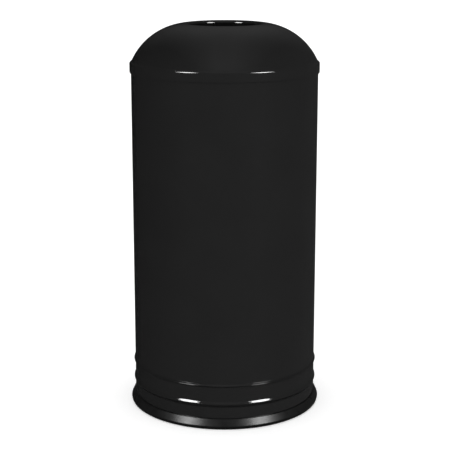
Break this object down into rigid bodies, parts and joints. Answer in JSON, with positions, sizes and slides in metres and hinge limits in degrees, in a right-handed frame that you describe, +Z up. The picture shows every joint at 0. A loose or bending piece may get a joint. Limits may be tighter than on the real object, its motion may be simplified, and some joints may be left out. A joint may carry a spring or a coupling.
{
  "type": "litter bin",
  "caption": "Round steel litter bin: lift-off domed lid with an open mouth on top, beaded shell, vinyl base ring, and a lift-out galvanised liner with a wire bail.",
  "frame": {"origin": "centre of the base ring's underside, on the floor", "axes": "+Z up along the bin's axis; -Y is the front, where the liner's bail rests; +Y is the back, with the shell's weld, the liner's seam and the base ring's joint; the bail pivots along X"},
  "size_m": [0.3916, 0.3916, 0.782],
  "materials": {
    "black_powder_coat": "gloss black powder coat, fine orange peel",
    "black_vinyl": "satin black extruded vinyl",
    "galvanised_sheet": "hot-dip galvanised, soft spangle",
    "steel_wire": "bright zinc-plated drawn wire",
    "zinc_rivet": "zinc-plated"
  },
  "bodies": {
    "shell": {"outer_shell": "black_powder_coat", "shell_rim_wire": "steel_wire", "base_pan": "black_powder_coat", "base_trim_ring": "black_vinyl"},
    "lid": {"dome_lid": "black_powder_coat"},
    "liner": {"liner_wall": "galvanised_sheet", "liner_bottom": "galvanised_sheet", "liner_rim_wire": "steel_wire", "bail_ear_right": "galvanised_sheet", "bail_ear_left": "galvanised_sheet", "ear_rivets": "zinc_rivet"},
    "bail": {"liner_bail": "steel_wire"}
  },
  "joints": [
    {"name": "lid_lift", "type": "slide", "parent": "shell", "child": "lid", "axis": [0, 0, 1], "range_m": [0, 0.95]},
    {"name": "liner_lift", "type": "slide", "parent": "shell", "child": "liner", "axis": [0, 0, 1], "range_m": [0, 0.7125]},
    {"name": "bail_swing", "type": "hinge", "parent": "liner", "child": "bail", "pos_m": [0, 0, 0.668], "axis": [-1, 0, 0], "range_deg": [0, 106]}
  ],
  "couplings": [
    {"joint": "liner_lift", "follows": "lid_lift", "ratio": 0.75},
    {"joint": "bail_swing", "follows": "lid_lift", "rad_per_m": 1.947}
  ]
}
